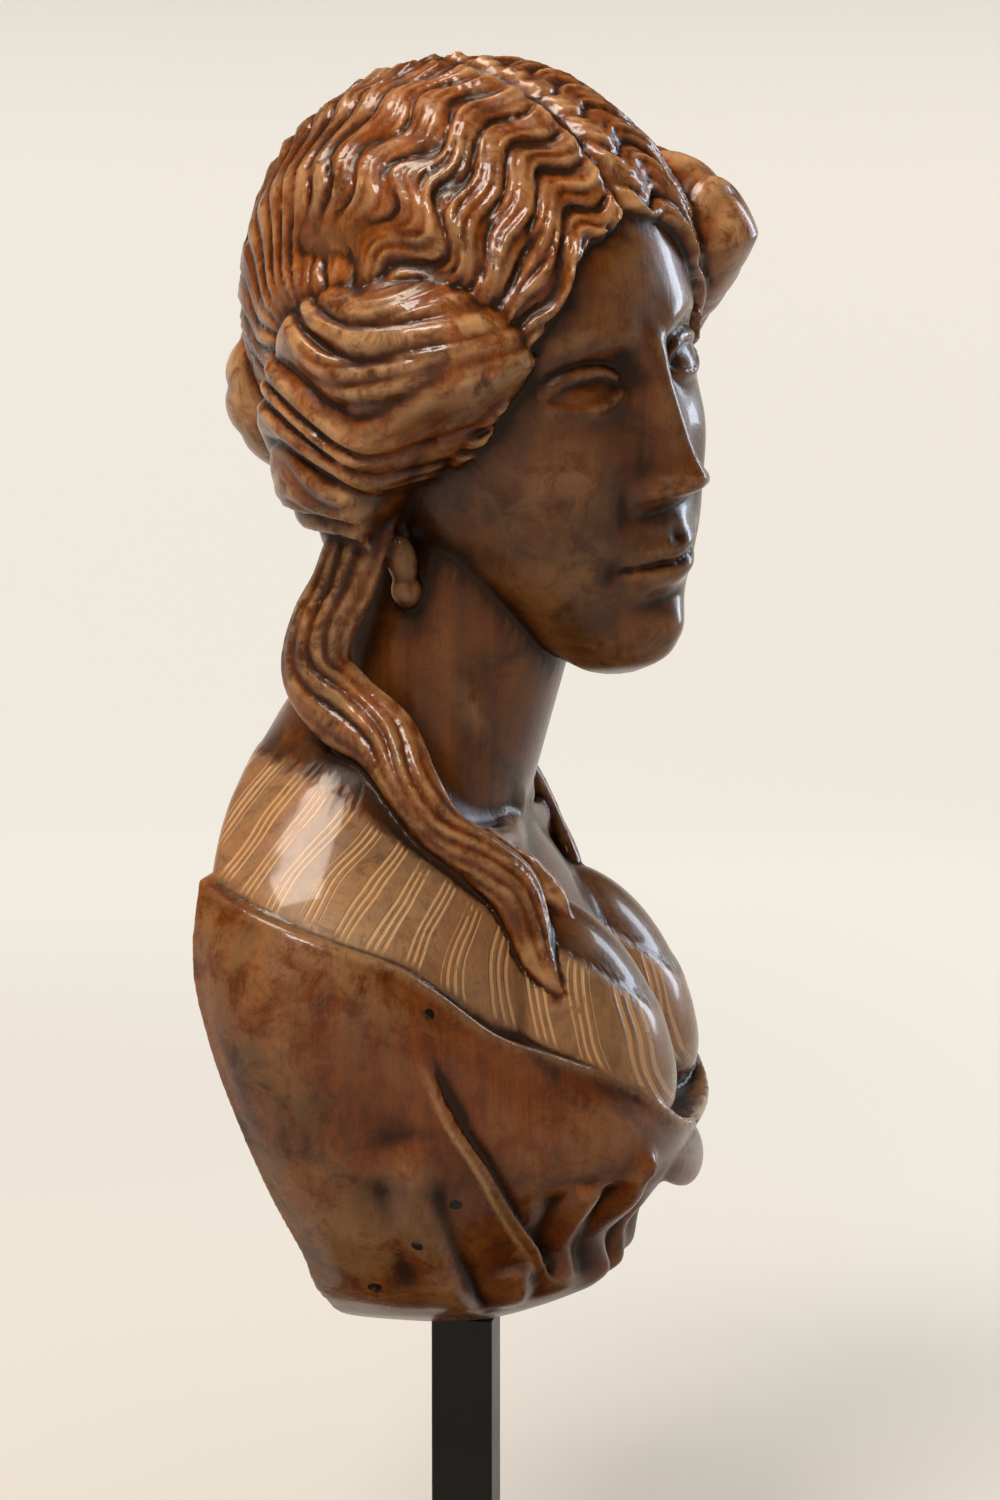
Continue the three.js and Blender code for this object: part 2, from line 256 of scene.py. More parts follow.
# Tapered bar along points; half width and half thickness run evenly from end to end, swelling between.
def barForm(points, halfWidth, halfThickness, outward):
    _, t, path, across, out = pathThrough(points, 80, outward)
    angle, _ = gridOf(24, 80)
    swell = np.sin(math.pi * t)
    width, thickness = (
        start + (end - start) * t + middle * swell for start, end, middle in (halfWidth, halfThickness)
    )
    rings = path[:, None] + across[:, None] * (np.cos(angle) * width[:, None])[..., None]
    return ringSurface(rings + out[:, None] * (np.sin(angle) * thickness[:, None])[..., None])


def neckForm():
    angle, v = gridOf(120, 70)
    h = 185 + v * 185
    flare = smoothStep(250 - h, 0, 65)
    centre = -32 + 0.28 * (np.minimum(h, 335) - 190)
    depth = np.where(np.cos(angle) > 0, 51, 51 + 10 * flare)
    return ringSurface(place(centre + np.cos(angle) * depth, np.sin(angle) * (50 + 22 * flare), h))


def neckCords():
    made = []
    for side in (1, -1):
        top = headPoint(56, -2, -72) if side > 0 else headPoint(-34, -4, -70)
        middle = place(6 if side > 0 else -2, side * 40, 258)
        foot = place(22, side * 11, 210)
        made.append(barForm([top, middle, foot], (9, 6, 0), (8, 7, 0), outOfNeck))
        collar = [place(20, side * 10, 206), place(24, side * 42, 200), place(8, side * 84, 206)]
        made.append(barForm(collar, (7, 9, 0), (5, 5, 0), outOfTrunk))
    return made


# Folds and hollows of the mantle: points as (f, r, h), then half width and height
foldLines = [
    ([(-4, 129, 99), (-1, 117, 66), (3, 103, 44), (7, 84, 24), (10, 58, 8)], 8.5, 9.5),
    ([(14, 124, 78), (20, 108, 50), (24, 90, 32), (26, 66, 16)], 5, 3.5),
    ([(82, 63, 84), (74, 70, 72), (70, 62, 60), (66, 45, 38), (56, 36, 20)], 7, 8.0),
    ([(30, 84, 40), (30, 74, 28), (26, 60, 14)], 5, 5.0),
    ([(60, 86, 76), (54, 80, 52), (46, 62, 26)], 8, 6.0),
    ([(70, 26, 70), (64, 20, 44), (54, 14, 22)], 7, 4.5),
]
hollowLines = [
    ([(4, 124, 82), (9, 108, 54), (14, 88, 34), (18, 62, 16)], 5, 4.5),
    ([(-14, 126, 84), (-12, 112, 52), (-8, 88, 28)], 8, 2.0),
    ([(66, 76, 76), (62, 70, 56), (54, 54, 34)], 5, 6.0),
    ([(48, 92, 76), (44, 82, 52), (38, 66, 28)], 7, 4.0),
    ([(78, 46, 84), (72, 44, 64), (66, 30, 44), (56, 22, 22)], 6, 6.5),
]
# The arm under the cloth ends at a crisp lip: its forward place at each height
armLip = ([20, 34, 46, 66, 86, 101, 127, 150], [44, 41, 38, 31, 23.6, 15.4, 5.2, 2])


def nearestOnLine(points, line, mirrored):
    corners = np.array(line, float)
    steps = np.r_[0, np.cumsum(np.linalg.norm(np.diff(corners, axis=0), axis=1))]
    t = np.linspace(0, steps[-1], 60)
    forward, right, height = (follow(steps, corners[:, i], t) for i in range(3))
    best = np.full(len(points), 1e9)
    where = np.zeros(len(points))
    for i, q in enumerate(place(forward, -right if mirrored else right, height)):
        d = np.linalg.norm(points - q, axis=1)
        closer = d < best
        best[closer] = d[closer]
        where[closer] = i / 59
    return best, where


def mantleForm():
    angle, v = gridOf(480, 380)
    h = v * 225
    narrowing = 0.68 + 0.47 * smoothStep(h, 78, 140)
    grow = bust["cloth"] * np.minimum(1, h / 30)
    f, r = trunkRing(angle, h, trunk["mantleFront"], narrowing, 0)
    fOut, rOut = trunkRing(angle, h, trunk["mantleFront"], narrowing, 1)
    above = h - follow(*mantleEdge, f)
    lift = grow - (grow + 10) * smoothStep(above, -0.3, 1.2)
    lift += 0.5 * bell(above, -2.0, 1.6)
    flat = place(f, r, h).reshape(-1, 3)
    relief = np.zeros(len(flat))
    for lines, sign in ((foldLines, 1), (hollowLines, -1)):
        for line, half, height in lines:
            for mirrored in (False, True):
                d, t = nearestOnLine(flat, line, mirrored)
                ends = smoothStep(t, 0, 0.15) * (1 - 0.6 * smoothStep(t, 0.85, 1))
                relief += sign * height * ends * np.exp(-((d / half) ** 2))
    relief = relief.reshape(h.shape)
    past = f - follow(*armLip, h)
    arm = 2.2 * bell(past, -1.8, 2.2)
    arm += 3.6 * np.exp(-np.maximum(-past, 0) / 12) * (1 - smoothStep(past, -0.5, 0.5))
    arm -= 7.0 * np.exp(-np.maximum(past, 0) / 16) * smoothStep(past, -0.5, 0.5)
    arm *= smoothStep(h, 26, 46) * (1 - smoothStep(h, 104, 136)) * (np.cos(angle) > -0.2)
    belowEdge = smoothStep(-above, 0, 14)
    waves = 1.0 * np.sin(f * 0.11 + h * 0.05 + 1.3 * np.sign(r)) * belowEdge
    lift = lift + (relief + waves) * belowEdge * smoothStep(h, 0, 14) + arm * belowEdge
    fLimit = follow(trunk["h"], trunk["back"], h) - 4
    fNew = f + (fOut - f) * lift
    fNew = np.where(np.cos(angle) < -0.3, np.maximum(fNew, fLimit), fNew)
    return ringSurface(place(fNew, r + (rOut - r) * lift, h))


def frontCurl():
    # the turned-over end of the mantle between the breasts
    path = place([80, 86, 89, 88, 78], [44, 22, -2, -24, -46], [80, 72, 67, 68, 78])
    return barForm(path, (8, 8, 3), (4.5, 4.5, 2.5), outOfTrunk)


# Half width of the head and its reach forward and back at each height z
skull = {
    "z": [-122, -118, -109, -95, -80, -54, -30, 0, 18, 50, 85, 110, 125],
    "half": [12, 22, 35, 47, 55, 63, 69, 74, 76, 77, 68, 44, 10],
    "front": [52, 62, 69, 73, 77, 81, 84, 85.5, 88.5, 86, 68, 42, 6],
    "back": [-36, -18, 0, 20, 40, 66, 80, 90, 93, 94, 82, 54, 14],
}
face = {
    "eyeOut": 30.5, "eyeHalf": 16.5, "eyeOpen": 6.0, "browRise": 17, "noseTop": 12, "noseTip": -41,
    "noseBase": -52, "noseReach": 16.5, "mouthLine": -74, "mouthHalf": 24, "chin": -106,
}


def faceLift(x, z):
    side = np.abs(x)
    # sockets, eyeballs and lids
    dx = (side - face["eyeOut"]) / face["eyeHalf"]
    inside = np.clip(1 - dx**2, 0, 1)
    lift = -6.0 * bell(side, 28, 15) * bell(z, 5, 10)
    lift -= 3.5 * bell(side, 14, 6) * bell(z, 3, 9)
    lift += 6.0 * np.exp(-((side - 31) / 13) ** 2 - ((z + 0.5) / 8.5) ** 2)
    slope = 0.04 * (side - face["eyeOut"])
    upper = face["eyeOpen"] * inside**0.75 + slope
    lower = -face["eyeOpen"] * 0.75 * inside**0.9 + slope
    lids = smoothStep(inside, 0.0, 0.2)
    lift += 2.7 * lids * smoothStep(z, upper - 0.6, upper + 0.8) * bell(z, upper + 1.2, 3.4)
    lift += 2.1 * lids * smoothStep(-z, -lower - 0.6, -lower + 0.8) * bell(z, lower - 1.0, 2.8)
    lift -= 1.9 * smoothStep(inside, 0, 0.5) * bell(z, upper + 5.6, 1.5)
    # brows
    brow = face["browRise"] + 3.5 * bell(side, 33, 14) - 0.012 * np.maximum(side - 34, 0) ** 2
    ridge = np.exp(-np.where(z > brow, (z - brow) / 10.0, (brow - z) / 4.6) ** 2)
    lift += 2.2 * ridge * smoothStep(side, 4, 14) * (1 - smoothStep(side, 44, 58))
    # nose: bridge, ball, wings and nostrils
    down = np.clip((face["noseTop"] - z) / (face["noseTop"] - face["noseTip"]), 0, 1)
    under = smoothStep(z, face["noseBase"] - 2, face["noseBase"] + 8)
    width = 9.0 + 4.5 * down**2
    bridge = (5.0 + (face["noseReach"] - 5.0) * down) * np.exp(-((side / width) ** 2.1))
    lift += bridge * under * (1 - smoothStep(z, 6, 24))
    lift += 3.4 * bell(side, 0, 9.5) * bell(z, -41, 8.0)
    lift += 6.0 * under * bell(side, 11.5, 5.5) * bell(z, -44.5, 6.5)
    lift -= 1.5 * bell(side, 21, 3) * bell(z, -46, 7)
    # cheeks, lips and chin
    lift += 5.5 * bell(side, 44, 16) * bell(z, -32, 22)
    lift += 3.5 * bell(side, 38, 14) * bell(z, -62, 22)
    lift += 3.5 * bell(side, 0, 24) * bell(z, -72, 16)
    lift += 2.6 * bell(side, 0, 15) * bell(z, -60, 5.5)
    lift -= 0.7 * bell(side, 0, 2.6) * bell(z, -61, 4)
    mouth = np.clip(1 - (side / face["mouthHalf"]) ** 2, 0, 1)
    bow = face["mouthLine"] - 1.0 * bell(side, 0, 5) + 1.0 * (1 - mouth)
    lift += 3.9 * mouth * bell(z, bow + 4.8, 4.8) - 1.0 * bell(side, 0, 3) * bell(z, bow + 9.5, 3)
    lift += 4.9 * np.clip(1 - (side / 21) ** 2, 0, 1) * bell(z, bow - 5.6, 5.2)
    lift -= 3.2 * smoothStep(mouth, 0, 0.2) * bell(z, bow, 1.3)
    lift -= 2.0 * bell(side, 26, 4) * bell(z, bow, 5)
    lift -= 2.2 * bell(side, 0, 18) * bell(z, -90, 4.5)
    lift += 5.5 * bell(side, 0, 18) * bell(z, face["chin"], 11)
    return lift


def headForm():
    even, v = gridOf(480, 340)
    z = skull["z"][0] + v * (skull["z"][-1] - skull["z"][0])
    turned = even - 0.45 * np.sin(even)
    x = np.sin(turned) * follow(skull["z"], skull["half"], z)
    ahead = np.cos(turned)
    depth = np.where(ahead > 0, follow(skull["z"], skull["front"], z), follow(skull["z"], skull["back"], z))
    y = ahead * depth
    jaw = 26 * np.clip((42 - y) / 42, 0, 1.3) * smoothStep(-z, 60, 122)
    y = y + smoothStep(ahead, 0.12, 0.55) * faceLift(x, z)
    return ringSurface(headPoint(x, y, z + jaw))


# Rounded ridges, one for each whole step of q, with sharp valleys between
def ridges(q, sharp=2.2):
    return 1 - np.abs(2 * (q - np.floor(q)) - 1) ** sharp


# Smooth irregular value that never quite repeats.
def ripple(a, b, seed=0.0):
    first = np.sin(a + 1.7 * np.sin(0.9 * b + seed) + seed)
    second = 0.6 * np.sin(2.3 * a - 1.9 * b + 2.1 * seed)
    return (first + second + 0.4 * np.sin(3.7 * b + 0.6 * a + 3.3 * seed)) / 2


def hairline(z):
    # half width of the opening over the face
    return follow([-150, -80, -50, -20, 5, 25, 42, 54, 61, 66], [70, 71, 69, 64, 58, 50, 40, 27, 13, 0], z)


hair = {
    # half sizes and centre of each rounded mass, in the head's x, y, z
    "capHalf": (85, 95, 93), "capCentre": (0, -4, 32),
    "rollHalf": (31, 58, 52), "rollCentre": (76, 14, 5), "rollLowHalf": 55,
    "farRollShift": (7, 17),  # the far roll lies this much further forward and up
    "partingGroove": 2.8, "partingWidth": 0.038,
}
# Strands by the face run along the hairline: turn about the ears, at each place from the parting
browSweep = (
    [0, 0.154, 0.323, 0.49, 0.629, 0.751, 0.853, 1.1, 1.57],
    [0.375, 0.32, 0.25, 0.12, -0.09, -0.36, -0.62, -0.70, -0.70],
)


def capForm():
    angle, v = gridOf(900, 520)
    tilt = v * math.pi
    # the poles of this grid are the two ears, so that strands run from the parting to each pole
    px, py, pz = np.cos(tilt), np.sin(tilt) * np.cos(angle), np.sin(tilt) * np.sin(angle)
    side = np.sign(px)
    along = np.arcsin(np.clip(np.abs(px), 0, 1))
    fan = np.arctan2(pz, py)
    wave = 0.70 * np.sin(along * 15.5 + 0.7 * ripple(fan * 2.2, along * 2.5, side))
    wave += 0.48 * ripple(fan * 5, along * 6, 2 + side)
    sweep = (follow(*browSweep, along) - browSweep[1][0]) * (1 - smoothStep(fan, 0.0, 1.7))
    sweep *= 1 - 0.45 * smoothStep(along, 0.5, 1.1)
    q = bust["strandsPerRadian"] * (fan - 0.72 * sweep - 0.12 * np.sin(2 * fan))
    q = q - 5.0 * along**1.4 * smoothStep(fan, 0.7, 2.0) + wave
    number = np.floor(q)
    power = 0.78 + 0.50 * np.sin(number * 2.4 + along * 4.5 + side)
    halves = ridges(q * 2 + 0.3 * np.sin(along * 11 + number * 1.3), 1.8)
    clump = q / 3.3 + 0.35 * ripple(fan * 3, along * 4, 4 + side)
    combed = 0.40 + 0.60 * smoothStep(pz, -0.9, -0.3) * smoothStep(py, -1.0, -0.15)
    forehead = 1 + 0.35 * smoothStep(0.9 - fan, 0, 0.7) * smoothStep(py, 0.1, 0.5)
    relief = bust["strandDepth"] * power * (ridges(q) - 0.62) * forehead
    relief *= 0.80 + 0.35 * ripple(fan * 4, along * 9, 5 + side)
    relief += 1.0 * (halves - 0.5) + 2.8 * (ridges(clump, 3) - 0.72) * forehead
    relief += 1.3 * np.sin(along * 15.5 + 1.4 + 0.7 * ripple(fan * 2.2, along * 2.5, side))
    relief *= combed * smoothStep(along, 0.0, 0.08)
    parting = smoothStep(py, -0.45, 0.05)
    relief -= hair["partingGroove"] * parting * bell(along, 0, hair["partingWidth"])
    relief += 0.9 * parting * bell(along, 0.15, 0.08)
    relief -= 6.5 * bell(along, 1.16, 0.14) * bell(fan, 1.55, 0.6)
    swell = 2.5 * bell(along, 0.66, 0.3) * smoothStep(py, -0.2, 0.5)
    grown = 1 + (relief + swell) / 92
    (halfX, halfY, halfZ), (_, midY, midZ) = hair["capHalf"], hair["capCentre"]
    x, y, z = px * halfX * grown, midY + py * halfY * grown, midZ + pz * halfZ * grown
    edge = np.abs(x) - hairline(z)
    facing = (y > 0) & (z < 90)
    tufts = -2.2 * wave
    sink = np.where(facing, 1 - smoothStep(edge, -3.5 + tufts, 1.5 + tufts), 0)
    sink = np.maximum(sink, smoothStep(-z, 55, 80) * smoothStep(y, -25, 5))
    drawn = 1 - 0.22 * sink
    return ringSurface(headPoint(x * drawn, midY + (y - midY) * drawn, z - (z - 20) * 0.16 * sink))


def rollForm(side):
    angle, v = gridOf(560, 360)
    tilt = v * math.pi
    py, girth = np.cos(tilt), np.sin(tilt)
    px, pz = girth * np.cos(angle), girth * np.sin(angle)
    ahead, rise = (0, 0) if side > 0 else hair["farRollShift"]
    (halfX, halfY, halfZ), (midX, midY, midZ) = hair["rollHalf"], hair["rollCentre"]
    blunt = np.sign(py) * np.abs(py) ** np.where(py < 0, 0.72, 0.9)
    # broad strands run from front to back in waves, each carrying finer ones
    wave = 0.34 * np.sin(blunt * 3.9 + 0.9 * np.sin(angle) + 0.4)
    wave += 0.07 * np.sin(blunt * 8.0 + 2 * np.sin(angle * 2))
    level = pz + 0.16 * blunt
    level += 0.12 * np.sin(blunt * 3.2 + 1.9 * pz + 0.5) * (1 + 0.6 * np.sin(pz * 5 + 1))
    if side < 0:
        level = 0.55 * pz + 0.75 * blunt + 0.12 * np.sin(pz * 4 + blunt)
    broad = bust["rollStrands"] * (0.5 + 0.5 * level) + 0.3 * wave + 0.32 * np.sin(level * 7 + 1 + blunt)
    number = np.floor(broad)
    fine = broad * 3 + 0.5 * np.sin(blunt * 6 + number * 1.9)
    backward = smoothStep(-py, -0.75, 0.6)
    power = 0.90 + 0.25 * np.sin(number * 1.7 + blunt * 2)
    relief = bust["rollDepth"] * (0.60 + 0.60 * backward) * power * (ridges(broad, 2.4) - 0.65)
    relief += 2.0 * (ridges(fine, 1.7) - 0.6) * (0.60 + 0.50 * np.sin(number * 2.7 + blunt * 3))
    relief *= smoothStep(girth, 0.02, 0.45)
    relief *= 1 - 0.55 * smoothStep(pz, 0.72, 0.95)
    tuck = np.clip(py, 0, 1) ** 1.5 * (1 if side > 0 else 0.1)
    x = midX - 17 * tuck + px * (halfX + relief)
    slant = pz * 54 * (0.20 if side > 0 else 0.05)
    slant += (46 * np.minimum(pz, 0.25) - 9) * np.clip(py * 1.3, 0, 1)
    y = midY + ahead + blunt * (halfY + relief * 0.4 * (1 - girth)) + slant
    z = midZ + rise + pz * (np.where(pz < 0, hair["rollLowHalf"], halfZ) + relief)
    return ringSurface(headPoint(side * x, y, z))


def moundForm(x, y, z, half, depth, tall, columns=120, rows=80, relief=None):
    angle, v = gridOf(columns, rows)
    tilt = (v - 0.5) * math.pi * 0.998
    px, py, pz = np.cos(tilt) * np.sin(angle), np.cos(tilt) * np.cos(angle), np.sin(tilt)
    grown = 1 + (relief(px, py, pz) / depth if relief else 0)
    return ringSurface(headPoint(x + px * half * grown, y + py * depth * grown, z + pz * tall * grown))


def chignonRelief(px, py, pz):
    # broad soft coils, laid over from one side
    coil = 2.1 * pz + 0.9 * np.sin(1.6 * px + 0.4) + 0.25 * np.sin(px * 5)
    return 1.9 * (ridges(coil, 2.6) - 0.75) * np.clip(-py * 1.6, 0, 1)


def napeRelief(px, py, pz):
    return 1.8 * (ridges(np.arctan2(px, -py) * 5 + 0.45 * np.sin(pz * 5)) - 0.6)


# A loose lock: one tapering form whose strands swing from side to side.
def lockForm(points, widths, depth, strands, phase):
    steps, rows, path, across, out = pathThrough(points, 320, outOfTrunk)
    angle, t = gridOf(180, 320)
    half = follow(steps, widths, rows)[:, None]
    thin = depth * np.clip(half / np.max(widths), 0.12, 1) ** 0.7
    swing = 0.65 * np.sin(t * 12 + phase) + 0.22 * np.sin(t * 21 + angle + phase)
    q = strands * angle / math.pi + swing * np.sin(angle)
    power = 0.85 + 0.35 * np.sin(np.floor(q) * 2.2 + t * 9 + phase)
    relief = 2.3 * power * (ridges(q, 1.8) - 0.6) + 0.7 * (ridges(2 * q + 0.3 * np.sin(t * 25)) - 0.5)
    relief *= np.clip(half / 8, 0.1, 1)
    half = half * (1 + 0.05 * np.sin(t * 17 + np.cos(angle) + phase))
    rings = path[:, None] + across[:, None] * (np.cos(angle) * (half + 0.2 * relief))[..., None]
    rings = rings + out[:, None] * (np.sin(angle) * (thin + relief))[..., None]
    return ringSurface(rings)


# Centre line of each lock as forward, right and height, then its half widths
locks = {
    "right": (
        [-27, -34, -40, -47, -49, -38, -22, -10, 2, 18, 30, 35, 40, 46, 50],
        [54, 57, 58, 60, 61, 64, 69, 76, 79, 77, 74, 74, 78, 81, 82],
        [338, 318, 302, 287, 270, 255, 243, 226, 210, 198, 186, 173, 160, 151, 147],
        [12, 12.5, 13, 14, 15, 15, 13.5, 11.5, 10.5, 10.5, 11, 10, 7.5, 4, 0.8],
    ),
    "short": (
        [16, 27, 36, 44, 50],
        [67, 62, 58, 56, 57],
        [203, 196, 189, 180, 171],
        [7, 6.5, 6, 5, 1],
    ),
    "left": (
        [-38, -42, -34, -14, 8, 24, 36, 42],
        [-50, -57, -62, -68, -68, -60, -50, -42],
        [325, 290, 260, 238, 218, 196, 178, 164],
        [13, 14, 14, 12, 11, 10, 7, 1.5],
    ),
}


def hairForms():
    made = [capForm(), rollForm(1), rollForm(-1)]
    made.append(moundForm(0, -79, 0, 62, 36, 43, relief=chignonRelief))
    made.append(moundForm(0, -52, -52, 50, 30, 42, relief=napeRelief))
    for name, depth, strands, phase in (("right", 8.5, 6, 0.4), ("short", 5.5, 3, 1.0), ("left", 8, 5, 2.0)):
        *centre, widths = locks[name]
        made.append(lockForm(place(*centre), widths, depth, strands, phase))
    return made


def earForms():
    # lobes with their drops, below the rolls
    near = [moundForm(74.5, 7, -68, 6, 6, 7), moundForm(74, 7, -56, 5.5, 6.5, 11)]
    return near + [moundForm(-60, 0, -79, 7, 8, 11), moundForm(-62, 1, -62, 6, 9, 14)]


print("bust: soft body forms")
body = fused([trunkForm(), neckForm(), breastForm(1), breastForm(-1)] + neckCords(), bust["bodyVoxel"], 14)
print("bust: hair, head and mantle")
hairMasses = hairForms()
plain = [body, headForm(), mantleForm(), frontCurl()] + earForms()
print("bust: one skin")
skinPoints, skinTriangles = fused(plain + hairMasses, bust["voxel"], 1, 0.35, bust["triangles"])
skinPoints[:, 2] = np.maximum(skinPoints[:, 2], baseHeight)
print("bust: triangles", len(skinTriangles))


# The finish reads values stored at each vertex; these are worked out below.
def edgePairs(triangles):
    pairs = np.concatenate([triangles[:, [0, 1]], triangles[:, [1, 2]], triangles[:, [2, 0]]])
    return np.concatenate([pairs, pairs[:, ::-1]])


def averaged(values, pairs, rounds):
    count = len(values)
    number = np.bincount(pairs[:, 0], minlength=count)
    columns = values.reshape(count, -1).T
    for _ in range(rounds):
        totals = [np.bincount(pairs[:, 0], weights=c[pairs[:, 1]], minlength=count) for c in columns]
        columns = [0.5 * c + 0.5 * total / number for c, total in zip(columns, totals)]
    return np.stack(columns, -1).reshape(values.shape)


def vertexNormals(points, triangles):
    p = points[triangles]
    across = np.cross(p[:, 1] - p[:, 0], p[:, 2] - p[:, 0])
    corners = triangles.ravel()
    sums = [np.bincount(corners, weights=np.repeat(across[:, i], 3), minlength=len(points)) for i in range(3)]
    total = np.stack(sums, -1)
    return total / np.maximum(np.linalg.norm(total, axis=1), 1e-12)[:, None]


def storeValue(mesh, name, values):
    attribute = mesh.attributes.new(name, "FLOAT", "POINT")
    attribute.data.foreach_set("value", values.astype(np.float32))


def nearestKind(points, sources):
    tree = kdtree.KDTree(sum(len(p) for p, _ in sources))
    kinds = []
    for p, kind in sources:
        for q in p:
            tree.insert(q, len(kinds))
            kinds.append(kind)
    tree.balance()
    return np.array([kinds[tree.find(q)[1]] for q in points], float)


pairs = edgePairs(skinTriangles)
sources = [(p[::3], 1.0) for p, _ in hairMasses] + [(p[::3], 0.0) for p, _ in plain]
isHair = nearestKind(skinPoints, sources)
f, r, h = -skinPoints[:, 1], -skinPoints[:, 0], skinPoints[:, 2] - baseHeight
lowEdge, highEdge = follow(*mantleEdge, f), follow(*chemiseEdge, f)
onBody = (1 - isHair) * (h < 300)
chemise = smoothStep(h, lowEdge - 0.5, lowEdge + 0.5) * (1 - smoothStep(h, highEdge - 0.9, highEdge + 0.9))
chemise *= onBody * smoothStep(f, -88, -80)
normals = vertexNormals(skinPoints, skinTriangles)
skinPoints = skinPoints + normals * (bust["chemise"] * averaged(chemise, pairs, 1))[:, None]
skinPoints[:, 2] = np.maximum(skinPoints[:, 2], baseHeight)

bustMesh = meshOf("figurehead", skinPoints / 1000, skinTriangles)
bustMesh.shade_smooth()
figurehead = bpy.data.objects.new("figurehead", bustMesh)
bpy.context.scene.collection.objects.link(figurehead)

# hollows and ridges at two scales: the finish paints hollows darker (partly painted shade) and ridges lighter
# (partly painted highlight)
close = averaged(skinPoints, pairs, 4)
wide = averaged(close, pairs, 26)
hollowFine = np.clip(((close - skinPoints) * normals).sum(1) / 0.40, -1, 1)
hollowWide = np.clip(((wide - skinPoints) * normals).sum(1) / 1.8, -1, 1)
storeValue(bustMesh, "hollowFine", averaged(hollowFine, pairs, 1))
storeValue(bustMesh, "hollowWide", averaged(hollowWide, pairs, 2))
storeValue(bustMesh, "hairMask", averaged(isHair, pairs, 1))
# the strokes of the chemise lean back more the higher they are
levels = np.arange(100, 261)
strokeLean = ([100, 130, 150, 165, 185, 205, 230, 260], [-0.4, -0.3, -0.1, 0.2, 0.5, 0.66, 0.72, 0.72])
lean = np.interp(h, levels, np.cumsum(follow(*strokeLean, levels)))
storeValue(bustMesh, "chemise", chemise)
storeValue(bustMesh, "strokeAcross", f - lean)
storeValue(bustMesh, "strokeDown", (h - lowEdge) / np.maximum(highEdge - lowEdge, 5))
mantle = (1 - smoothStep(h, lowEdge - 1, lowEdge + 1)) * onBody
# a thin painted highlight along the crisp lip of the arm
rimHighlight = bell(f - follow(*armLip, h), -1.0, 1.2) * smoothStep(h, 30, 50) * (1 - smoothStep(h, 100, 130))
storeValue(bustMesh, "rimHighlight", rimHighlight * mantle)
storeValue(bustMesh, "mantle", mantle)
edgeLine = bell(h, highEdge, 1.2) + 0.7 * bell(h, lowEdge + 0.8, 0.9)
storeValue(bustMesh, "edgeLine", edgeLine * onBody * smoothStep(f, -88, -78))
upward = smoothStep(normals[:, 2], 0.05, 0.5)
bare = bell(h, 168, 17) * bell(f, -30, 34) * upward
bare += 0.9 * bell(h, 50, 26) * mantle * smoothStep(-f, -30, 10)
storeValue(bustMesh, "bare", np.clip(bare, 0, 1) * (1 - isHair))
# face and neck, which the finish darkens partly as their own colour and partly as painted shade
storeValue(bustMesh, "fleshMask", (1 - isHair) * smoothStep(h, highEdge - 1, highEdge + 1))

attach(figurehead, "root")
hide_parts("bust")


# Shader node whose settings and inputs are given by name
def nodeIn(tree, kind, **settings):
    node = tree.nodes.new(kind)
    for name, value in settings.items():
        if hasattr(node, name):
            setattr(node, name, value)
        else:
            node.inputs[name].default_value = value
    return node


def mathIn(tree, operation, first, second=0.5, clamp=False):
    node = nodeIn(tree, "ShaderNodeMath", operation=operation, use_clamp=clamp)
    for socket, value in zip(node.inputs, (first, second)):
        if isinstance(value, (int, float)):
            socket.default_value = value
        else:
            tree.links.new(value, socket)
    return node.outputs[0]


def times(tree, *values):
    made = values[0]
    for value in values[1:]:
        made = mathIn(tree, "MULTIPLY", made, value)
    return made


def plus(tree, *values):
    made = values[0]
    for value in values[1:]:
        made = mathIn(tree, "ADD", made, value)
    return made


def minus(tree, first, second):
    return mathIn(tree, "SUBTRACT", first, second)


# Product held between 0 and 1
def share(tree, value, factor):
    return mathIn(tree, "MULTIPLY", value, factor, True)


def between(tree, value, low, high):
    node = nodeIn(tree, "ShaderNodeMapRange", interpolation_type="SMOOTHSTEP")
    node.inputs["From Min"].default_value = low
    node.inputs["From Max"].default_value = high
    tree.links.new(value, node.inputs["Value"])
    return node.outputs[0]


def mixIn(tree, factor, first, second, blend="MIX"):
    node = nodeIn(tree, "ShaderNodeMix", data_type="RGBA", blend_type=blend)
    for socket, value in ((node.inputs[0], factor), (node.inputs[6], first), (node.inputs[7], second)):
        if isinstance(value, (int, float, tuple)):
            socket.default_value = value
        else:
            tree.links.new(value, socket)
    return node.outputs[2]


def rampIn(tree, value, stops):
    node = tree.nodes.new("ShaderNodeValToRGB")
    for i, (at, colour) in enumerate(stops):
        stop = node.color_ramp.elements[i] if i < 2 else node.color_ramp.elements.new(at)
        stop.position = at
        stop.color = colour
    tree.links.new(value, node.inputs[0])
    return node.outputs[0]


def attributeIn(tree, name):
    return nodeIn(tree, "ShaderNodeAttribute", attribute_name=name).outputs["Fac"]


def bumpIn(tree, shader, height, strength, distance):
    bump = nodeIn(tree, "ShaderNodeBump", Strength=strength, Distance=distance)
    tree.links.new(height, bump.inputs["Height"])
    tree.links.new(bump.outputs[0], shader.inputs["Normal"])


